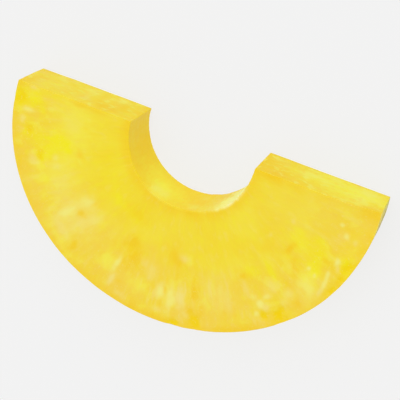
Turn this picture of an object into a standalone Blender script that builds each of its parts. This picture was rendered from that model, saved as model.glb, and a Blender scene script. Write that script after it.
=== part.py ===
"""A half ring of peeled and cored pineapple, lying flat with a sliced face up.

Metres, +Z up. The origin is the centre of the bounding box's base, so the piece rests on z = 0.
The ring is a little oval, as the fruit is. It was halved by one knife cut across the hole that
the corer left, and the two faces of that cut look along +Y.
"""

from math import asin, cos, pi, radians, sin

import bmesh
import bpy

# Driving dimensions, in metres. Offsets are along Y from the middle of the oval to the knife cut.
RING_WIDTH = 0.090
RING_OVALNESS = 0.94
CORE_DIAMETER = 0.0308
CORE_OFFSET = 0.0034
KNIFE_OFFSET = 0.0040
SLICE_THICKNESS = 0.0127
EDGE_ROUNDING = 0.0004

# How finely the round stretches are divided.
RIM_STEPS = 120
CORE_STEPS = 60
EDGE_STEPS = 3
EDGE_ANGLE = radians(30)

# The flesh's colour, as linear RGB, with its moist, satin surface.
FLESH_COLOUR = (0.87, 0.66, 0.055, 1.0)
FLESH_ROUGHNESS = 0.38
FLESH_METALLIC = 0.0

RING_HALF_WIDTH = RING_WIDTH / 2
RING_HALF_DEPTH = RING_HALF_WIDTH * RING_OVALNESS
CORE_RADIUS = CORE_DIAMETER / 2


def clear_scene():
    """Removes every object, so that only the part is left."""
    for found in list(bpy.data.objects):
        bpy.data.objects.remove(found, do_unlink=True)


def arc_below_knife(half_width, half_depth, middle, steps):
    """Points of the oval's stretch below the knife cut, from its left end round to its right end."""
    rise = asin((KNIFE_OFFSET - middle) / half_depth)
    first = pi - rise
    turn = pi + 2 * rise
    points = []
    for step in range(steps + 1):
        angle = first + turn * step / steps
        points.append((half_width * cos(angle), middle + half_depth * sin(angle)))
    return points


def slice_outline():
    """The slice seen from above: round the rim to the right, then back round the core hole."""
    rim = arc_below_knife(RING_HALF_WIDTH, RING_HALF_DEPTH, 0.0, RIM_STEPS)
    core = arc_below_knife(CORE_RADIUS, CORE_RADIUS, CORE_OFFSET, CORE_STEPS)
    return rim + core[::-1]


def slice_mesh(name):
    """The outline, moved so that its box is centred on the origin, and raised to its thickness."""
    to_centre = (RING_HALF_DEPTH - KNIFE_OFFSET) / 2
    shape = bmesh.new()
    corners = [shape.verts.new((x, y + to_centre, 0.0)) for x, y in slice_outline()]
    base = shape.faces.new(corners)
    raised = bmesh.ops.extrude_face_region(shape, geom=[base])["geom"]
    upper = [item for item in raised if isinstance(item, bmesh.types.BMVert)]
    bmesh.ops.translate(shape, verts=upper, vec=(0.0, 0.0, SLICE_THICKNESS))
    bmesh.ops.recalc_face_normals(shape, faces=shape.faces[:])
    mesh = bpy.data.meshes.new(name)
    shape.to_mesh(mesh)
    shape.free()
    return mesh


def flesh_material():
    """Ripe yellow flesh with a moist surface."""
    material = bpy.data.materials.new("flesh")
    material.use_nodes = True
    shader = material.node_tree.nodes["Principled BSDF"]
    shader.inputs["Base Color"].default_value = FLESH_COLOUR
    shader.inputs["Roughness"].default_value = FLESH_ROUGHNESS
    shader.inputs["Metallic"].default_value = FLESH_METALLIC
    material.diffuse_color = FLESH_COLOUR
    return material


def round_the_edges(piece):
    """Softens the blade-cut edges and shades the round walls smooth between them."""
    bevel = piece.modifiers.new("edge_rounding", "BEVEL")
    bevel.width = EDGE_ROUNDING
    bevel.segments = EDGE_STEPS
    bevel.limit_method = "ANGLE"
    bevel.angle_limit = EDGE_ANGLE
    piece.data.shade_smooth()
    piece.data.set_sharp_from_angle(angle=EDGE_ANGLE)


def build_half_ring():
    """The whole part: one solid of one piece."""
    mesh = slice_mesh("pineapple_half_ring")
    mesh.materials.append(flesh_material())
    piece = bpy.data.objects.new("pineapple_half_ring", mesh)
    bpy.context.scene.collection.objects.link(piece)
    round_the_edges(piece)
    return piece


def main():
    clear_scene()
    build_half_ring()


main()
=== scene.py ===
"""Looks of the pineapple half ring: moist, fibrous yellow flesh, lying on a plain pale floor.

Lengths are metres in the CAD frame. A place on the ring is given by three shares:
round, from the left knife end (0) past the bottom of the arc to the right knife end (1);
out, from the core wall (0) to the rim (1); and up, from the underside (0) to the top (1).
"""

from collections import namedtuple
from math import asin, cos, pi, radians, sin

import bpy
import numpy as np
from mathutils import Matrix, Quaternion, Vector


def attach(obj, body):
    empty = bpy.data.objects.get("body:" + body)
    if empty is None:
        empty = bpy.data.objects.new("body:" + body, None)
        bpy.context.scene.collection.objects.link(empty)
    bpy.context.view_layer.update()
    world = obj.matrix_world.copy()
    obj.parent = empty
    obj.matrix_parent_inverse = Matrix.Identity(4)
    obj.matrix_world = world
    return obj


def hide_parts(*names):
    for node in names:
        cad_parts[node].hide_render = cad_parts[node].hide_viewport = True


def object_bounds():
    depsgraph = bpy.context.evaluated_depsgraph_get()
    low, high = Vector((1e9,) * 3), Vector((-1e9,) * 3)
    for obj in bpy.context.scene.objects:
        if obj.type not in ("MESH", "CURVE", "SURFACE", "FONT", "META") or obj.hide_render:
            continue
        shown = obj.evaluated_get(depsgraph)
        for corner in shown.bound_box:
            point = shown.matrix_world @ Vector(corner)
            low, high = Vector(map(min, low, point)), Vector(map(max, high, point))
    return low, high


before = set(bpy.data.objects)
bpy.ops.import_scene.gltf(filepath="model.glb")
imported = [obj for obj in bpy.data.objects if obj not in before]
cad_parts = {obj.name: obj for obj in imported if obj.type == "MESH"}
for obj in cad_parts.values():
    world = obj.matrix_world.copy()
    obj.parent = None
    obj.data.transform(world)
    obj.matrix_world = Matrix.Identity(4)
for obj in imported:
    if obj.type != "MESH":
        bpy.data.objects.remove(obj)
cad_lo, cad_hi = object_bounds()

MM = 0.001
NODE = "pineapple_half_ring"

# The slicer's sizes that the CAD box doesn't hold.
OVALNESS = 0.94
KNIFE_OFFSET = 4.0 * MM
CORE_OFFSET = 3.4 * MM
CORE_RADIUS = 15.4 * MM

# The fine mesh: how many cells each way, and the soft edge that the blades left.
CELLS_ROUND = 372
CELLS_OUT = 88
CELLS_UP = 24
EDGE_ROUNDING = 0.10 * MM
EDGE_LINES = (0.0, 0.3, 0.65, 1.0)

# Relief, all of it sunk below the CAD surface. A cell's sizes run round the ring, out and up.
FIBRE_CELL = (0.9 * MM, 7.0 * MM, 0.9 * MM)
FIBRE_DEPTH = 0.055 * MM
FIBRE_SEED = 51
SWELL_CELL = (6.0 * MM, 8.0 * MM, 6.0 * MM)
SWELL_DEPTH = 0.10 * MM
SWELL_SEED = 67
RELIEF_LAYERS = 2
EYE_DEPTH = 0.20 * MM
SCAR_DEPTH = 0.45 * MM
NOISE_TABLE = 32

# The worn corner at the right knife end: how far the top sinks there, and over what lengths.
WORN_DEPTH = 1.4 * MM
WORN_OUT = 10.0 * MM
WORN_ROUND = 14.0 * MM

# The rim leans out at its top, near the right knife end: how far, between which shares round the
# ring it sets in, and how far out from the core it starts.
LEAN_OUT = 0.22 * MM
LEAN_FROM = 0.90
LEAN_FULL = 0.96
LEAN_INNER = 0.5

# Where the streaks are strongest, and how far to either side they reach, in degrees. A peak above 1
# keeps them at full strength for a while before they fade.
STREAKY_BEARING = 97.0
STREAKY_REACH = 32.0
STREAKY_PEAK = 1.3

# How fast the peeled side's colour, with its painted shade, sets in below its upper edge, so that the
# rim darkens towards the floor, and where round the rim the painted shade is darkest, towards the
# right end.
PEEL_AND_SHADE_FADE = 1.7
PAINTED_SHADE_FROM = 0.70
PAINTED_SHADE_FULL = 0.95

# Camera: where it looks, from where, and its turn about its own axis.
CAMERA_AIM = Vector((3.62 * MM, 8.12 * MM, 6.34 * MM))
CAMERA_DISTANCE = 263.6 * MM
CAMERA_BEARING = radians(151.78)
CAMERA_HEIGHT = radians(62.14)
CAMERA_ROLL = radians(-133.42)
CAMERA_LENS = 100.74
CAMERA_SENSOR = 36.0

# Light: an even pale surround, a wide lamp facing the knife cut, and a weaker one from the other side.
SURROUND = (1.0, 1.0, 1.0, 1.0)
SURROUND_STRENGTH = 0.80
Lamp = namedtuple("Lamp", "name coming_from strength spread")
LAMPS = (
    Lamp("key_lamp", Vector((-0.01, 0.185, 0.160)), 0.790, radians(70)),
    Lamp("fill_lamp", Vector((-0.5, -0.5, 0.5)), 0.272, radians(70)),
)
FLOOR_RADIUS = 3.0
FLOOR_DROP = 0.05 * MM
FLOOR_SIDES = 128
FLOOR_COLOUR = (0.12, 0.12, 0.12, 1.0)
FLOOR_GLOW = 0.769

# Flesh colours, linear.
BASE = (0.88, 0.695, 0.034, 1.0)
MILKY = (0.88, 0.720, 0.190, 1.0)
PALE = (0.88, 0.81, 0.205, 1.0)
# Painted highlight colour, for the wet sheen on the core wall.
PAINTED_HIGHLIGHT_COLOUR = (0.93, 0.92, 0.42, 1.0)
LIME = (0.89, 0.83, 0.085, 1.0)
LEMON = (0.89, 0.80, 0.008, 1.0)
GOLD = (0.89, 0.600, 0.014, 1.0)
RIM_GOLD = (0.88, 0.580, 0.018, 1.0)
AMBER = (0.89, 0.640, 0.0005, 1.0)
ROSY = (0.88, 0.625, 0.068, 1.0)
# Painted shade: a dark olive laid over the peeled side's lower part towards the rim's right end.
PAINTED_SHADE_OLIVE = (0.47, 0.38, 0.045, 1.0)
PEEL_LIGHT = (0.80, 0.56, 0.035, 1.0)
EYE_SCAR = (0.56, 0.33, 0.025, 1.0)

# What the upright faces' colours are multiplied by, and more so the knife cut's, as painted light: the
# upright faces lose blue to cancel the white reflection that they catch at a slant, and the knife
# cut's faces are a little darker still, painted shade.
WALL_REFLECTION_OFFSET = (0.995, 1.0, 0.58, 1.0)
CUT_PAINTED_SHADE = (0.97, 0.97, 0.90, 1.0)

# Cells of the flesh's colour patterns: round the ring, out and up.
CLOUD_CELL = (8.0 * MM, 9.0 * MM, 6.0 * MM)
PATCH_CELL = (2.6 * MM, 4.4 * MM, 2.6 * MM)
MOTTLE_CELL = (1.6 * MM, 2.6 * MM, 1.6 * MM)
STREAK_CELL = (1.3 * MM, 6.5 * MM, 1.3 * MM)
DASH_CELL = (1.0 * MM, 2.0 * MM, 1.3 * MM)
FLECK_CELL = (0.35 * MM, 0.6 * MM, 0.35 * MM)
SMOOTH_DETAIL = 2.0
FINE_DETAIL = 3.0

# The flesh's moist, slightly see-through surface.
ROUGHNESS_LEAST = 0.34
ROUGHNESS_MOST = 0.52
FLESH_IOR = 1.2
SUBSURFACE_SHARE = 0.12
SUBSURFACE_RADIUS = (1.0, 0.8, 0.3)
SUBSURFACE_SCALE = 0.8 * MM
BUMP_STRENGTH = 0.25
BUMP_HEIGHT = 0.08 * MM
FLOOR_ROUGHNESS = 0.9

# A mark is a blotch in the flesh, cut open by the faces that it reaches, or a painted highlight. Its
# middle is a bearing round the ring in degrees and two shares, out from the core and up from the
# underside. It fades over
# these millimetres: wide (round the ring), long (out from the core) and deep (up and down). Lean tilts
# it, as millimetres out for each millimetre round the ring.
Mark = namedtuple("Mark", "bearing out wide long strength lean up deep", defaults=(0.0, 1.0, 3.0))
FULL_BEARING = 180.0
LEFT_END = 0.0
RIGHT_END = FULL_BEARING
CORE_WALL = 0.0
RIM = 1.0

# How ragged the marks' borders are, and how far a mark is over-strong, which flattens its middle.
MARK_RAGGED = 0.75
MARK_FULL = 1.22
MARK_SEED = 11
RAGGED_CELL = (1.1 * MM, 2.2 * MM, 1.1 * MM)
RAGGED_OUT_SEED = 7

# Eye scars on the peeled side: the rows' heights, how far each strays, their sizes and strengths.
SCAR_SEED = 4
SCAR_COUNT = 15
SCAR_ROWS = (0.30, 0.66)
SCAR_STRAY_ROUND = 0.22
SCAR_STRAY_UP = 0.06
SCAR_SIZES = (0.7, 1.4)
SCAR_STRENGTHS = (0.25, 0.65)
SCAR_WIDE = 1.6
SCAR_LONG = 1.5
SCAR_DEEP = 1.1

# Warmer, duller yellow between the streaks.
ROSY_MARKS = (
    Mark(40, 0.94, 8.0, 1.6, 0.45),
    Mark(43, 0.64, 3.0, 5.0, 0.25),
    Mark(50.8, 0.75, 1.2, 1.0, 0.60),
    Mark(63, 0.62, 4.0, 6.0, 0.50),
    Mark(77, 0.80, 3.0, 3.0, 0.70),
    Mark(78, 0.86, 7.0, 3.2, 0.65),
    Mark(84, 0.42, 1.6, 1.2, 0.40),
    Mark(88, 0.56, 4.0, 3.0, 0.50),
    Mark(103, 0.88, 4.5, 2.8, 0.75),
    Mark(110, 0.88, 5.0, 3.0, 0.60),
    Mark(122, 0.70, 3.0, 5.0, 0.40),
    Mark(142, 0.92, 5.0, 2.0, 0.50),
    Mark(LEFT_END, 0.60, 1.5, 12.0, 0.40, up=0.60, deep=6.0),
    Mark(173, 0.70, 4.0, 5.0, 0.25),
    Mark(177, 0.93, 2.4, 2.2, 0.70),
)

# Milky streaks with a warm tinge.
MILKY_MARKS = (
    Mark(0.6, 0.86, 0.6, 0.9, 0.5),
    Mark(12.0, 0.91, 0.9, 0.7, 0.6),
    Mark(12.0, 0.48, 3.0, 2.0, 0.20),
    Mark(26.0, 0.84, 1.7, 1.1, 0.55),
    Mark(35.5, 0.66, 1.6, 3.0, 0.30),
    Mark(42, 0.68, 3.0, 3.0, 0.18),
    # The halo of the large eye.
    Mark(54.5, 0.68, 1.9, 3.4, 0.48),
    Mark(51.5, 0.85, 2.6, 1.5, 0.62),
    Mark(50.5, 0.55, 3.0, 2.2, 0.25),
    # Streaks along the bottom of the arc.
    Mark(75, 0.86, 0.6, 1.6, 0.90),
    Mark(79, 0.93, 0.8, 0.8, 0.45),
    Mark(83.5, 0.56, 1.3, 1.0, 0.45),
    Mark(87.5, 0.61, 1.1, 1.8, 0.45),
    Mark(92.2, 0.90, 1.5, 0.7, 0.55),
    Mark(100, 0.75, 1.0, 2.8, 0.95),
    Mark(102, 0.88, 0.9, 0.9, 0.55),
    Mark(100, 0.405, 1.1, 0.9, 0.70),
    Mark(107, 0.93, 0.5, 0.8, 0.70),
    Mark(113.5, 0.68, 3.2, 4.2, 0.36),
    Mark(118, 0.74, 1.8, 2.2, 0.28),
    # Flecks towards the right.
    Mark(126, 0.66, 0.8, 1.8, 0.40),
    Mark(129.5, 0.84, 1.2, 0.8, 0.70),
    Mark(135.5, 0.71, 1.4, 1.4, 0.50),
    Mark(139.5, 0.82, 1.2, 1.2, 0.50),
    Mark(148.5, 0.925, 1.0, 0.5, 0.70, -0.32),
    Mark(158.2, 0.90, 0.9, 0.5, 0.80, -0.40),
    Mark(149, 0.37, 0.6, 0.4, 0.45),
    Mark(162, 0.43, 0.7, 0.5, 0.50),
    Mark(168.5, 0.90, 0.6, 0.5, 0.55),
    Mark(166, 0.36, 7.0, 8.0, 0.12),
    Mark(92, 0.26, 7.0, 5.0, 0.05),
    # On the knife cut's faces and the core wall.
    Mark(LEFT_END, 0.48, 1.5, 1.3, 0.60, up=0.66, deep=1.8),
    Mark(LEFT_END, 0.89, 1.5, 1.2, 0.35, up=0.67, deep=1.4),
    Mark(RIGHT_END, 0.15, 1.5, 2.0, 0.30, up=0.30, deep=1.8),
    Mark(105, CORE_WALL, 0.8, 0.45, 0.40, up=0.30, deep=0.9),
)

# Nearly white, with a green tinge; four tiny specks near the rim at the right are painted highlights,
# glints of moisture.
PALE_MARKS = (
    Mark(8.9, 0.86, 0.6, 1.4, 0.70),
    Mark(26.2, 0.64, 0.9, 0.7, 0.45),
    Mark(30.3, 0.64, 0.8, 1.4, 0.35),
    Mark(27.5, 0.80, 0.6, 0.6, 0.40),
    Mark(47.8, 0.72, 1.4, 2.8, 0.80),
    Mark(46.8, 0.55, 1.2, 2.2, 0.40),
    Mark(48.5, 0.50, 1.4, 1.6, 0.55),
    Mark(56.5, 0.54, 1.2, 2.2, 0.35),
    Mark(52, 0.70, 3.8, 4.6, 0.25),
    Mark(74.2, 0.70, 0.65, 2.0, 0.85, 0.2),
    Mark(92.6, 0.73, 0.8, 1.6, 0.85),
    Mark(96.2, 0.77, 1.2, 3.0, 0.78),
    Mark(126.2, 0.88, 0.6, 0.6, 0.75),
    Mark(128.6, 0.81, 1.0, 1.0, 0.90),
    Mark(127.2, 0.74, 0.8, 0.8, 0.40),
    Mark(132, 0.77, 1.1, 0.6, 0.60),
    Mark(137, 0.86, 1.0, 1.0, 0.30),
    Mark(146.3, 0.84, 1.4, 2.2, 0.50),
    Mark(151.6, 0.905, 1.6, 0.5, 0.80, -0.32),
    Mark(154.5, 0.875, 0.9, 0.4, 0.80, -0.32),
    Mark(160.0, 0.865, 0.8, 0.6, 0.95, -0.30),
    # Painted highlights: tiny glints of moisture, painted white into the colour.
    Mark(151.6, 0.74, 0.5, 0.35, 0.80),
    Mark(151, 0.81, 0.5, 0.35, 0.80),
    Mark(169, 0.82, 0.6, 0.5, 0.80),
    Mark(172, 0.76, 0.4, 0.4, 0.80),
    # On the knife cut's faces and the core wall.
    Mark(LEFT_END, 0.22, 1.5, 1.5, 0.85, up=0.20, deep=1.4),
    Mark(LEFT_END, 0.47, 1.5, 1.8, 0.55, up=0.24, deep=1.6),
    Mark(LEFT_END, 0.75, 1.5, 1.4, 0.45, up=0.20, deep=1.3),
    Mark(RIGHT_END, 0.35, 1.5, 1.4, 0.70, up=0.38, deep=1.8),
    Mark(RIGHT_END, 0.42, 1.5, 1.2, 0.60, up=0.34, deep=1.0),
    Mark(RIGHT_END, 0.19, 1.5, 0.7, 0.45, up=0.37, deep=0.8),
    Mark(RIGHT_END, 0.58, 1.5, 1.4, 0.50, up=0.20, deep=1.0),
    Mark(RIGHT_END, 0.46, 1.5, 0.8, 0.65, up=0.24, deep=0.5),
    Mark(RIGHT_END, 0.51, 1.5, 0.9, 0.60, up=0.42, deep=0.6),
    Mark(RIGHT_END, 0.64, 1.5, 1.0, 0.60, up=0.36, deep=0.5),
    Mark(RIGHT_END, 0.70, 1.5, 0.8, 0.55, up=0.58, deep=0.6),
    Mark(RIGHT_END, 0.91, 1.5, 0.7, 0.65, up=0.55, deep=0.6),
    Mark(RIGHT_END, 0.81, 1.5, 1.5, 0.85, up=0.69, deep=1.9),
    Mark(RIGHT_END, 0.85, 1.5, 2.0, 0.75, up=0.28, deep=2.0),
    Mark(66, CORE_WALL, 1.3, 0.45, 0.75, up=0.80, deep=2.4),
    Mark(74, CORE_WALL, 1.1, 0.45, 0.60, up=0.75, deep=2.4),
    Mark(103, CORE_WALL, 1.4, 0.45, 0.60, up=0.80, deep=1.6),
)

# Painted highlights: a wet sheen painted into the core wall's colour near its right end.
PAINTED_HIGHLIGHT_MARKS = (
    Mark(143.5, CORE_WALL, 3.8, 0.45, 1.00, up=0.60, deep=9.0),
    Mark(134, CORE_WALL, 2.4, 0.45, 0.38, up=0.80, deep=5.0),
    Mark(127, CORE_WALL, 2.6, 0.45, 0.22, up=0.85, deep=4.0),
)

# Pale greenish yellow.
LIME_MARKS = (
    Mark(10, 0.46, 6.0, 5.0, 0.50),
    Mark(32, 0.62, 5.0, 5.0, 0.45),
    Mark(28.8, 0.43, 1.0, 0.6, 0.50),
    Mark(34, 0.72, 1.2, 2.0, 0.40),
    Mark(70.8, 0.73, 2.4, 2.4, 0.65),
    Mark(84, 0.76, 2.0, 1.8, 0.50),
    Mark(103.5, 0.41, 0.8, 1.2, 0.50),
    Mark(125, 0.45, 2.0, 2.4, 0.25),
    Mark(147, 0.82, 1.6, 2.0, 0.55),
    Mark(151, 0.79, 1.8, 1.8, 0.65),
    Mark(LEFT_END, 0.52, 1.5, 5.0, 0.35, up=0.36, deep=3.4),
    Mark(LEFT_END, 0.72, 1.5, 2.5, 0.30, up=0.55, deep=3.4),
    Mark(RIGHT_END, 0.46, 2.0, 4.5, 0.70, up=0.32, deep=3.6),
    Mark(RIGHT_END, 0.80, 3.0, 7.0, 0.95, up=0.42, deep=5.0),
    Mark(70, CORE_WALL, 2.8, 0.45, 0.90, up=0.65, deep=5.0),
    Mark(56, CORE_WALL, 3.0, 0.45, 0.45, up=0.45, deep=6.0),
    # A painted highlight along the core wall's top edge near its right end.
    Mark(133, CORE_WALL, 3.0, 0.45, 0.75, up=0.75, deep=5.0),
    Mark(86, CORE_WALL, 3.0, 0.45, 0.40, up=0.60, deep=6.0),
    Mark(113, CORE_WALL, 2.0, 0.45, 0.40, up=0.85, deep=2.5),
)

# Clear, saturated yellow where the flesh is ripest.
LEMON_MARKS = (
    Mark(21, 0.60, 2.8, 3.6, 0.70),
    Mark(21.8, 0.52, 1.3, 1.0, 0.80),
    Mark(24, 0.70, 1.8, 1.8, 0.50),
    Mark(18, 0.60, 1.4, 2.2, 0.40),
    Mark(18, 0.76, 1.2, 1.6, 0.40),
    Mark(5, 0.82, 1.9, 1.8, 0.70),
    Mark(8, 0.74, 1.2, 0.8, 0.40),
    Mark(1.2, 0.68, 1.0, 4.0, 0.40),
    Mark(17, 0.86, 1.0, 1.0, 0.35),
    Mark(34, 0.76, 1.0, 1.0, 0.35),
    Mark(38, 0.20, 6.0, 4.0, 0.25),
    Mark(55, 0.27, 2.2, 1.6, 0.55),
    Mark(69, 0.24, 2.6, 1.6, 0.60),
    Mark(59, 0.52, 1.4, 1.4, 0.30),
    Mark(138.3, 0.58, 0.8, 2.4, 0.55),
    Mark(131, 0.54, 1.6, 1.6, 0.40),
    Mark(156.5, 0.64, 3.6, 3.4, 0.50),
    Mark(157, 0.52, 2.6, 1.8, 0.50),
    Mark(155.5, 0.76, 2.6, 1.6, 0.50),
    Mark(152, 0.79, 1.3, 1.4, 0.60),
    Mark(162, 0.70, 1.2, 1.6, 0.45),
    # Round the roots of the eyes.
    Mark(5.2, 0.95, 2.2, 2.0, 0.90),
    Mark(15.5, 0.84, 1.5, 1.4, 0.60),
    Mark(25.3, 0.775, 1.5, 1.3, 0.85),
    Mark(160.2, 0.945, 2.1, 1.4, 0.90),
)

# Deeper gold.
GOLD_MARKS = (
    # The large eye and its tail.
    Mark(50.8, 0.62, 1.1, 0.9, 0.68),
    Mark(50.6, 0.46, 0.5, 1.8, 0.45),
    Mark(15.5, 0.84, 1.3, 1.2, 0.40),
    Mark(23.4, 0.76, 0.7, 0.8, 0.40),
    Mark(26.4, 0.425, 1.3, 0.8, 0.55),
    Mark(36, 0.04, 4.0, 0.8, 0.35),
    Mark(58.6, 0.87, 0.8, 1.7, 0.75),
    Mark(69, 0.23, 2.8, 1.4, 0.55),
    Mark(75, 0.46, 1.6, 1.7, 0.85),
    Mark(78.6, 0.55, 1.6, 1.8, 0.85),
    Mark(76.3, 0.66, 0.7, 1.0, 0.45),
    Mark(77.6, 0.83, 0.6, 0.5, 0.50),
    Mark(94.2, 0.73, 0.5, 1.8, 0.45),
    Mark(95.2, 0.38, 0.9, 1.2, 0.60),
    Mark(97, 0.44, 1.5, 1.4, 0.75),
    Mark(105.2, 0.68, 0.9, 2.6, 0.85),
    Mark(105.4, 0.93, 1.3, 1.6, 0.80),
    Mark(103.5, 0.84, 0.7, 0.8, 0.75),
    Mark(107.5, 0.84, 0.9, 2.0, 0.45),
    Mark(105, 0.02, 3.5, 0.7, 0.40),
    Mark(127, 0.555, 1.2, 0.7, 0.80),
    Mark(140, 0.91, 0.9, 1.1, 0.60),
    Mark(144.5, 0.43, 2.4, 1.6, 0.35),
    Mark(151.5, 0.54, 1.5, 0.7, 0.90),
    Mark(149.5, 0.63, 1.0, 0.7, 0.45),
    Mark(158, 0.79, 0.9, 0.8, 0.50),
    Mark(178.6, 0.93, 1.3, 2.4, 0.70),
    # On the knife cut's faces and the core wall.
    Mark(LEFT_END, 0.28, 1.5, 3.4, 0.80, up=0.78, deep=2.8),
    Mark(LEFT_END, 0.19, 1.5, 1.6, 0.60, up=0.52, deep=2.0),
    Mark(LEFT_END, 0.13, 1.5, 1.2, 0.45, up=0.60, deep=1.4),
    Mark(LEFT_END, 0.42, 1.2, 3.0, 0.55, up=0.98, deep=0.8),
    Mark(LEFT_END, 0.96, 1.5, 1.4, 0.50, up=0.80, deep=3.0),
    Mark(RIGHT_END, 0.16, 1.5, 3.2, 1.00, up=0.88, deep=3.6),
    Mark(RIGHT_END, 0.36, 1.5, 3.0, 0.50, up=0.93, deep=1.6),
    Mark(RIGHT_END, 0.10, 1.5, 2.8, 0.65, up=0.50, deep=4.0),
    Mark(RIGHT_END, 0.31, 1.5, 0.9, 0.40, up=0.56, deep=1.2),
    Mark(RIGHT_END, 0.98, 1.5, 1.2, 0.50, up=0.95, deep=1.2),
    Mark(RIGHT_END, 0.72, 1.0, 2.0, 0.55, up=0.03, deep=0.5),
    Mark(RIGHT_END, 0.35, 1.0, 3.0, 0.45, up=0.02, deep=0.4),
    Mark(26, CORE_WALL, 4.0, 0.45, 0.45, up=0.40, deep=6.0),
    Mark(92, CORE_WALL, 1.4, 0.45, 0.35, up=0.30, deep=2.5),
)

# The strongest yellow, in the roots of the eyes near the rim.
AMBER_MARKS = (
    Mark(5.2, 0.95, 1.9, 1.7, 0.72),
    Mark(15.5, 0.84, 1.0, 0.8, 0.60),
    Mark(25.3, 0.775, 1.3, 1.0, 0.66),
    Mark(77, 0.50, 1.6, 1.2, 0.35, -0.4),
    Mark(98, 0.975, 1.4, 0.8, 0.95),
    Mark(105, 0.93, 1.7, 1.9, 0.80),
    Mark(128.4, 0.905, 0.9, 0.9, 0.95),
    Mark(133, 0.94, 2.1, 1.9, 1.00),
    Mark(151.8, 0.975, 1.4, 0.7, 0.90),
    Mark(156, 0.965, 1.0, 0.7, 0.85),
    Mark(160.2, 0.945, 1.9, 1.2, 0.74, 0.25),
)


def eye_scars():
    """What is left of the eyes on the peeled side, in two staggered rows."""
    rng = np.random.default_rng(SCAR_SEED)
    scars = []
    for n in range(SCAR_COUNT):
        stray = rng.uniform(-SCAR_STRAY_ROUND, SCAR_STRAY_ROUND)
        bearing = FULL_BEARING * (n + 0.5 + stray) / SCAR_COUNT
        up = SCAR_ROWS[n % 2] + rng.uniform(-SCAR_STRAY_UP, SCAR_STRAY_UP)
        size = rng.uniform(*SCAR_SIZES)
        strength = rng.uniform(*SCAR_STRENGTHS)
        wide = SCAR_WIDE * size
        deep = SCAR_DEEP * size
        scars.append(Mark(bearing, RIM, wide, SCAR_LONG, strength, up=up, deep=deep))
    return scars


MARKS = {
    "scar": eye_scars(),
    "rosy": ROSY_MARKS,
    "milky": MILKY_MARKS,
    "lime": LIME_MARKS,
    "lemon": LEMON_MARKS,
    "pale": PALE_MARKS,
    "painted_highlight": PAINTED_HIGHLIGHT_MARKS,
    "gold": GOLD_MARKS,
    "amber": AMBER_MARKS,
}

# The marks' colours, from the lowest layer to the highest.
MARK_TINTS = (
    ("scar", EYE_SCAR),
    ("rosy", ROSY),
    ("lime", LIME),
    ("lemon", LEMON),
    ("milky", MILKY),
    ("pale", PALE),
    # Painted highlight on the core wall.
    ("painted_highlight", PAINTED_HIGHLIGHT_COLOUR),
    ("gold", GOLD),
    ("amber", AMBER),
)


# ---------------------------------------------------------------- shape of the ring

half_width = (cad_hi[0] - cad_lo[0]) / 2
half_depth = half_width * OVALNESS
thickness = cad_hi[2] - cad_lo[2]
knife_y = cad_hi[1]
middle_y = knife_y - KNIFE_OFFSET
core_y = middle_y + CORE_OFFSET


def oval_point(round_share, wide, deep, middle):
    """X and Y on an oval, at these shares of its stretch below the knife cut."""
    rise = asin((knife_y - middle) / deep)
    angle = pi - rise + (pi + 2 * rise) * round_share
    return np.stack([wide * np.cos(angle), middle + deep * np.sin(angle)], axis=-1)


def spokes(round_share):
    """The core wall's and the rim's points at these shares."""
    core = oval_point(round_share, CORE_RADIUS, CORE_RADIUS, core_y)
    rim = oval_point(round_share, half_width, half_depth, middle_y)
    return core, rim


def arc_length(wide, deep, middle):
    """How long such an oval's stretch is."""
    points = oval_point(np.linspace(0, 1, 2000), wide, deep, middle)
    return np.linalg.norm(np.diff(points, axis=0), axis=1).sum()


core_length = arc_length(CORE_RADIUS, CORE_RADIUS, core_y)
rim_length = arc_length(half_width, half_depth, middle_y)


def graded_lines(length, cells):
    """Shares of a side where its grid lines run, closer together at the rounded edges."""
    edge = np.array(EDGE_LINES) * EDGE_ROUNDING / length
    inside = np.linspace(edge[-1], 1 - edge[-1], cells + 1)
    return np.concatenate([edge[:-1], inside, 1 - edge[-2::-1]])


def box_shell(counts):
    """Grid places (round, out, up) on a hollow box, and the quads between them, facing out."""
    on_shell = np.zeros(counts, bool)
    for axis in range(3):
        sides = np.moveaxis(on_shell, axis, 0)
        sides[0] = True
        sides[-1] = True
    number = np.full(counts, -1)
    places = np.argwhere(on_shell)
    number[on_shell] = np.arange(len(places))
    quads = []
    for axis in range(3):
        for end in (0, -1):
            sheet = np.take(number, end, axis=axis)
            corners = (sheet[:-1, :-1], sheet[1:, :-1], sheet[1:, 1:], sheet[:-1, 1:])
            quad = np.stack(corners, axis=-1).reshape(-1, 4)
            backwards = (end == -1) == (axis != 1)
            quads.append(quad[:, ::-1] if backwards else quad)
    return places, np.concatenate(quads)


def smooth_noise(points, seed):
    """Noise from -1 to 1 at these points, in cells of size 1."""
    table = np.random.default_rng(seed).uniform(-1, 1, (NOISE_TABLE,) * 3)
    cell = np.floor(points).astype(int)
    share = points - cell
    share = share * share * (3 - 2 * share)
    total = np.zeros(len(points))
    for corner in np.ndindex(2, 2, 2):
        weight = np.where(corner, share, 1 - share).prod(axis=1)
        x, y, z = ((cell + corner) % NOISE_TABLE).T
        total += weight * table[x, y, z]
    return total


def layered_noise(points, seed, layers=3):
    """Noise with ever finer, fainter layers."""
    total = sum(smooth_noise(points * 2**n, seed + n) / 2**n for n in range(layers))
    return total / sum(1 / 2**n for n in range(layers))


def along_grain(place, lengths):
    """Places in metres in which the fibres, which spread out from the core, run side by side."""
    middle_length = (core_length + rim_length) / 2
    spans = np.stack([np.full(len(place), middle_length), lengths[:, 1], lengths[:, 2]], axis=1)
    return place * spans


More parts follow.
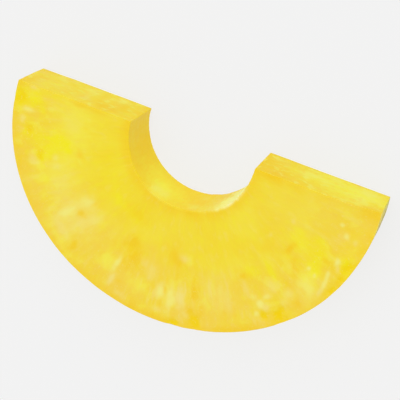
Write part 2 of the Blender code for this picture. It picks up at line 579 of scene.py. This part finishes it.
def marked(place, lengths, marks, seed):
    """From 0 to 1, how much each point is covered by these marks, with ragged borders."""
    ragged = along_grain(place, lengths) / RAGGED_CELL
    ragged_round = MARK_RAGGED * layered_noise(ragged, seed)
    ragged_out = MARK_RAGGED * layered_noise(ragged, seed + RAGGED_OUT_SEED)
    bare = np.ones(len(place))
    for mark in marks:
        aside = (place[:, 0] - mark.bearing / FULL_BEARING) * lengths[:, 0] / MM
        outward = (place[:, 1] - mark.out) * lengths[:, 1] / MM - mark.lean * aside
        above = (place[:, 2] - mark.up) * thickness / MM
        reach = (aside / mark.wide + ragged_round) ** 2
        reach += (outward / mark.long + ragged_out) ** 2
        reach += (above / mark.deep) ** 2
        bare *= 1 - mark.strength * np.clip(MARK_FULL * np.exp(-reach), 0, 1)
    return 1 - bare


def ramp(values, start, end):
    """A smooth rise from 0 at the start to 1 at the end."""
    share = np.clip((values - start) / (end - start), 0, 1)
    return share * share * (3 - 2 * share)


def write_numbers(mesh, name, values):
    """Stores one number, or a vector, for each of the mesh's points."""
    kind, key = ("FLOAT", "value") if values.ndim == 1 else ("FLOAT_VECTOR", "vector")
    stored = mesh.attributes.new(name, kind, "POINT")
    stored.data.foreach_set(key, values.astype(np.float32).ravel())


def rounded_shell():
    """A fine box shell with softened edges, bent nowhere yet.

    For each point it gives the spot, in metres along the three sides, those sides' lengths through
    the point, and which way the surface faces; and then the quads between the points.
    """
    coarser = 1
    out_length = (half_width - CORE_RADIUS + half_depth - CORE_RADIUS) / 2
    lines = [
        graded_lines((core_length + rim_length) / 2, CELLS_ROUND // coarser),
        graded_lines(out_length, CELLS_OUT // coarser),
        graded_lines(thickness, CELLS_UP // coarser),
    ]
    corners, quads = box_shell([len(line) for line in lines])
    place = np.stack([line[corners[:, axis]] for axis, line in enumerate(lines)], axis=-1)

    core, rim = spokes(place[:, 0])
    lengths = np.empty_like(place)
    lengths[:, 0] = core_length + (rim_length - core_length) * place[:, 1]
    lengths[:, 1] = np.linalg.norm(rim - core, axis=1)
    lengths[:, 2] = thickness
    sharp = place * lengths
    inner = np.clip(sharp, EDGE_ROUNDING, lengths - EDGE_ROUNDING)
    facing = sharp - inner
    facing /= np.linalg.norm(facing, axis=1, keepdims=True)
    return inner + EDGE_ROUNDING * facing, lengths, facing, quads


def sunk_relief(grain, covered):
    """How far each point sinks: into the fibres, broad swells, the eyes' roots and the eye scars."""
    fibres = layered_noise(grain / FIBRE_CELL, FIBRE_SEED, RELIEF_LAYERS)
    swell = layered_noise(grain / SWELL_CELL, SWELL_SEED, RELIEF_LAYERS)
    sunk = FIBRE_DEPTH * np.clip(fibres, 0, 1) + SWELL_DEPTH * np.clip(swell, 0, 1)
    return sunk + EYE_DEPTH * covered["amber"] + SCAR_DEPTH * covered["scar"]


def worn_away(place, lengths):
    """How far the top corner at the right knife end has worn down."""
    worn = ramp(place[:, 1] * lengths[:, 1], lengths[:, 1] - WORN_OUT, lengths[:, 1])
    worn *= ramp(place[:, 0] * lengths[:, 0], lengths[:, 0] - WORN_ROUND, lengths[:, 0])
    return WORN_DEPTH * worn * place[:, 2]


def leaned_out(place, lengths):
    """How far the rim's top leans out near the right knife end, as a share of the way out."""
    lean = LEAN_OUT * ramp(place[:, 0], LEAN_FROM, LEAN_FULL) * place[:, 2]
    return lean / lengths[:, 1] * ramp(place[:, 1], LEAN_INNER, RIM)


def store_looks(mesh, place, facing, grain, covered):
    """Stores what the flesh's material reads at each point."""
    peeled = np.clip(facing[:, 1], 0, 1)
    from_middle = (FULL_BEARING * place[:, 0] - STREAKY_BEARING) / STREAKY_REACH
    looks = {
        "grain": grain,
        "outward": place[:, 1],
        # The peeled side's colour and its painted shade: strongest towards the floor, fading out below
        # the top edge, and darkest towards the rim's right end.
        "peel_and_painted_shade": peeled * np.clip(PEEL_AND_SHADE_FADE * (1 - place[:, 2]), 0, 1),
        "painted_shade_end": ramp(place[:, 0], PAINTED_SHADE_FROM, PAINTED_SHADE_FULL),
        "wall": 1 - np.abs(facing[:, 2]),
        "cut_side": np.abs(facing[:, 0]),
        "streaky": np.clip(STREAKY_PEAK - from_middle**2, 0, 1),
    }
    for name, values in {**looks, **covered}.items():
        write_numbers(mesh, name, values)


def make_flesh():
    """The half ring as one fine closed mesh, with its fibres and eyes in relief."""
    spot, lengths, facing, quads = rounded_shell()
    place = spot / lengths
    covered = {}
    for seed, (name, marks) in enumerate(MARKS.items(), MARK_SEED):
        covered[name] = marked(place, lengths, marks, seed)
    grain = along_grain(place, lengths)

    spot = spot - facing * sunk_relief(grain, covered)[:, None]
    place = spot / lengths
    height = spot[:, 2] - worn_away(place, lengths)
    place[:, 1] += leaned_out(place, lengths)
    core, rim = spokes(place[:, 0])
    flat = core + (rim - core) * place[:, 1:2]
    points = np.column_stack([flat, cad_lo[2] + height])

    mesh = bpy.data.meshes.new("pineapple_flesh")
    mesh.from_pydata(points.tolist(), [], quads.tolist())
    store_looks(mesh, place, facing, grain, covered)
    mesh.shade_smooth()
    mesh.update()
    piece = bpy.data.objects.new("pineapple_flesh", mesh)
    bpy.context.scene.collection.objects.link(piece)
    return piece


# ---------------------------------------------------------------- materials

def new_material(name):
    """A material with only its output node, and its node tree."""
    material = bpy.data.materials.new(name)
    material.use_nodes = True
    tree = material.node_tree
    tree.nodes.clear()
    return material, tree


def stored_number(tree, name, output="Fac"):
    """What the mesh stores under this name."""
    node = tree.nodes.new("ShaderNodeAttribute")
    node.attribute_name = name
    return node.outputs[output]


def noise(tree, spot, cell, detail=SMOOTH_DETAIL):
    """Noise from 0 to 1 in cells of this size."""
    scaled = tree.nodes.new("ShaderNodeVectorMath")
    scaled.operation = "DIVIDE"
    tree.links.new(spot, scaled.inputs[0])
    scaled.inputs[1].default_value = cell
    node = tree.nodes.new("ShaderNodeTexNoise")
    node.inputs["Scale"].default_value = 1.0
    node.inputs["Detail"].default_value = detail
    tree.links.new(scaled.outputs[0], node.inputs["Vector"])
    return node.outputs["Fac"]


def spread(tree, value, low, high, to_low=0.0, to_high=1.0):
    """Stretches the range low..high to to_low..to_high, smoothly and clamped."""
    node = tree.nodes.new("ShaderNodeMapRange")
    node.interpolation_type = "SMOOTHSTEP"
    tree.links.new(value, node.inputs["Value"])
    node.inputs["From Min"].default_value = low
    node.inputs["From Max"].default_value = high
    node.inputs["To Min"].default_value = to_low
    node.inputs["To Max"].default_value = to_high
    return node.outputs["Result"]


def maths(tree, operation, a, b):
    """One sum of two values, each a socket or a number."""
    node = tree.nodes.new("ShaderNodeMath")
    node.operation = operation
    for socket, value in zip(node.inputs, (a, b)):
        if isinstance(value, (int, float)):
            socket.default_value = value
        else:
            tree.links.new(value, socket)
    return node.outputs[0]


def blended(tree, share, a, b, way="MIX"):
    """Colour b laid over colour a, each a socket or a colour."""
    node = tree.nodes.new("ShaderNodeMix")
    node.data_type = "RGBA"
    node.blend_type = way
    tree.links.new(share, node.inputs[0])
    for socket, value in zip((node.inputs[6], node.inputs[7]), (a, b)):
        if isinstance(value, tuple):
            socket.default_value = value
        else:
            tree.links.new(value, socket)
    return node.outputs[2]


def layered(tree, colour, layers):
    """The colour under these layers, each a share, the zone that it is kept to, and a tint."""
    for share, zone, tint in layers:
        colour = blended(tree, maths(tree, "MULTIPLY", share, zone), colour, tint)
    return colour


def ground_colour(tree, grain, outward, outer_zone, mottle):
    """Yellow, golden at the core and rosy towards the rim, in soft clouds and mottles."""
    cloud = noise(tree, grain, CLOUD_CELL, FINE_DETAIL)
    colour = blended(tree, spread(tree, outward, 0.12, 0.0, 0.0, 0.72), BASE, GOLD)
    colour = blended(tree, spread(tree, cloud, 0.45, 0.70, 0.0, 0.30), colour, GOLD)
    colour = blended(tree, spread(tree, cloud, 0.50, 0.30, 0.0, 0.20), colour, LIME)
    colour = blended(tree, spread(tree, outer_zone, 0.0, 1.0, 0.0, 0.30), colour, ROSY)
    colour = blended(tree, spread(tree, mottle, 0.52, 0.75, 0.0, 0.22), colour, MILKY)
    return blended(tree, spread(tree, mottle, 0.48, 0.28, 0.0, 0.20), colour, LEMON)


def streaked(tree, colour, grain, outward, outer_zone, streak):
    """Patches and fibre streaks out towards the rim, and a golden edge round it."""
    patch = noise(tree, grain, PATCH_CELL, FINE_DETAIL)
    streaky = spread(tree, stored_number(tree, "streaky"), 0.0, 1.0, 0.45, 1.0)
    outer_streak = maths(tree, "MULTIPLY", outer_zone, streaky)
    streaky_top = maths(tree, "MULTIPLY", streaky, spread(tree, stored_number(tree, "wall"), 1.0, 0.0))
    layers = (
        (spread(tree, patch, 0.52, 0.64, 0.0, 0.50), outer_zone, ROSY),
        (spread(tree, patch, 0.48, 0.36, 0.0, 0.40), outer_zone, LIME),
        (spread(tree, streak, 0.52, 0.70, 0.0, 0.55), outer_streak, MILKY),
        (spread(tree, streak, 0.47, 0.30, 0.0, 0.55), outer_streak, GOLD),
        (spread(tree, outward, 0.92, 0.985, 0.0, 0.70), streaky_top, RIM_GOLD),
    )
    return layered(tree, colour, layers)


def peel_with_painted_shade(tree, colour, mottle):
    """The peeled side in mottled gold, with painted shade: it darkens towards its foot and turns dark
    olive towards its right end.
    """
    peel_and_shade_share = spread(tree, stored_number(tree, "peel_and_painted_shade"), 0.0, 1.0)
    layers = (
        (spread(tree, mottle, 0.35, 0.60, 0.15, 0.75), peel_and_shade_share, PEEL_LIGHT),
        # Painted shade, dark olive, towards the rim's right end.
        (stored_number(tree, "painted_shade_end"), peel_and_shade_share, PAINTED_SHADE_OLIVE),
    )
    return layered(tree, colour, layers)


def dashed_and_flecked(tree, colour, grain, outer_zone):
    """Short pale and golden dashes on the knife cut's faces, and fine milky flecks near the rim."""
    dash = noise(tree, grain, DASH_CELL, FINE_DETAIL)
    fleck = noise(tree, grain, FLECK_CELL)
    cut_side = stored_number(tree, "cut_side")
    layers = (
        (spread(tree, dash, 0.54, 0.68, 0.0, 0.60), cut_side, PALE),
        (spread(tree, dash, 0.45, 0.34, 0.0, 0.36), cut_side, GOLD),
        (spread(tree, fleck, 0.58, 0.75, 0.0, 0.35), outer_zone, MILKY),
    )
    return layered(tree, colour, layers)


def flesh_material():
    """Yellow flesh: fibres running out from the core, with milky, lemon and golden blotches; painted
    highlights on the core wall and near the rim, and painted shade on the peeled side and the upright
    faces.
    """
    material, tree = new_material("pineapple_flesh")
    grain = stored_number(tree, "grain", "Vector")
    outward = stored_number(tree, "outward")
    outer_zone = spread(tree, outward, 0.30, 0.75)
    mottle = noise(tree, grain, MOTTLE_CELL, FINE_DETAIL)
    streak = noise(tree, grain, STREAK_CELL)

    colour = ground_colour(tree, grain, outward, outer_zone, mottle)
    colour = streaked(tree, colour, grain, outward, outer_zone, streak)
    colour = peel_with_painted_shade(tree, colour, mottle)
    for name, tint in MARK_TINTS:
        colour = blended(tree, stored_number(tree, name), colour, tint)
    colour = dashed_and_flecked(tree, colour, grain, outer_zone)
    # Blue taken out of the upright faces against their slanting white reflection, and painted shade on
    # the knife cut's faces.
    colour = blended(tree, stored_number(tree, "wall"), colour, WALL_REFLECTION_OFFSET, "MULTIPLY")
    colour = blended(tree, stored_number(tree, "cut_side"), colour, CUT_PAINTED_SHADE, "MULTIPLY")

    shader = tree.nodes.new("ShaderNodeBsdfPrincipled")
    roughness = spread(tree, mottle, 0.3, 0.7, ROUGHNESS_LEAST, ROUGHNESS_MOST)
    tree.links.new(colour, shader.inputs["Base Color"])
    tree.links.new(roughness, shader.inputs["Roughness"])
    shader.inputs["IOR"].default_value = FLESH_IOR
    shader.inputs["Subsurface Weight"].default_value = SUBSURFACE_SHARE
    shader.inputs["Subsurface Radius"].default_value = SUBSURFACE_RADIUS
    shader.inputs["Subsurface Scale"].default_value = SUBSURFACE_SCALE
    bump = tree.nodes.new("ShaderNodeBump")
    bump.inputs["Strength"].default_value = BUMP_STRENGTH
    bump.inputs["Distance"].default_value = BUMP_HEIGHT
    tree.links.new(streak, bump.inputs["Height"])
    tree.links.new(bump.outputs[0], shader.inputs["Normal"])
    output = tree.nodes.new("ShaderNodeOutputMaterial")
    tree.links.new(shader.outputs[0], output.inputs["Surface"])
    return material


def floor_material():
    """A pale, evenly lit table top."""
    material, tree = new_material("pale_floor")
    shader = tree.nodes.new("ShaderNodeBsdfPrincipled")
    shader.inputs["Base Color"].default_value = FLOOR_COLOUR
    shader.inputs["Roughness"].default_value = FLOOR_ROUGHNESS
    shader.inputs["Specular IOR Level"].default_value = 0.0
    shader.inputs["Emission Color"].default_value = SURROUND
    shader.inputs["Emission Strength"].default_value = FLOOR_GLOW
    output = tree.nodes.new("ShaderNodeOutputMaterial")
    tree.links.new(shader.outputs[0], output.inputs["Surface"])
    return material


# ---------------------------------------------------------------- stage, light and camera

def make_floor():
    """A wide round floor, just under the part."""
    turns = np.linspace(0, 2 * pi, FLOOR_SIDES, endpoint=False)
    level = cad_lo[2] - FLOOR_DROP
    rim = [(FLOOR_RADIUS * cos(turn), FLOOR_RADIUS * sin(turn), level) for turn in turns]
    mesh = bpy.data.meshes.new("pale_floor")
    mesh.from_pydata(rim, [], [tuple(range(FLOOR_SIDES))])
    mesh.materials.append(floor_material())
    floor = bpy.data.objects.new("pale_floor", mesh)
    bpy.context.scene.collection.objects.link(floor)
    return floor


def light_the_scene():
    """An even surround and two wide lamps."""
    world = bpy.data.worlds.new("surround")
    world.use_nodes = True
    surround = world.node_tree.nodes["Background"]
    surround.inputs["Color"].default_value = SURROUND
    surround.inputs["Strength"].default_value = SURROUND_STRENGTH
    bpy.context.scene.world = world
    for lamp in LAMPS:
        light = bpy.data.lights.new(lamp.name, "SUN")
        light.energy = lamp.strength
        light.angle = lamp.spread
        holder = bpy.data.objects.new(lamp.name, light)
        holder.rotation_mode = "QUATERNION"
        holder.rotation_quaternion = (-lamp.coming_from).to_track_quat("-Z", "Y")
        bpy.context.scene.collection.objects.link(holder)


def add_camera():
    """Looks down on the part from beyond its knife cut."""
    level = cos(CAMERA_HEIGHT)
    towards = Vector((level * sin(CAMERA_BEARING), -level * cos(CAMERA_BEARING), sin(CAMERA_HEIGHT)))
    lens = bpy.data.cameras.new("camera")
    lens.lens = CAMERA_LENS
    lens.sensor_width = CAMERA_SENSOR
    lens.clip_start = 0.01
    camera = bpy.data.objects.new("camera", lens)
    camera.location = CAMERA_AIM + CAMERA_DISTANCE * towards
    camera.rotation_mode = "QUATERNION"
    upright = (-towards).to_track_quat("-Z", "Y")
    camera.rotation_quaternion = upright @ Quaternion((0, 0, 1), CAMERA_ROLL)
    bpy.context.scene.collection.objects.link(camera)
    bpy.context.scene.camera = camera


def set_tones():
    """Shows colours as they are, with no film look."""
    bpy.context.scene.view_settings.view_transform = "Standard"
    bpy.context.scene.view_settings.look = "None"


add_camera()
light_the_scene()
set_tones()
make_floor()
flesh = make_flesh()
flesh.data.materials.append(flesh_material())
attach(flesh, "root")
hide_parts(NODE)
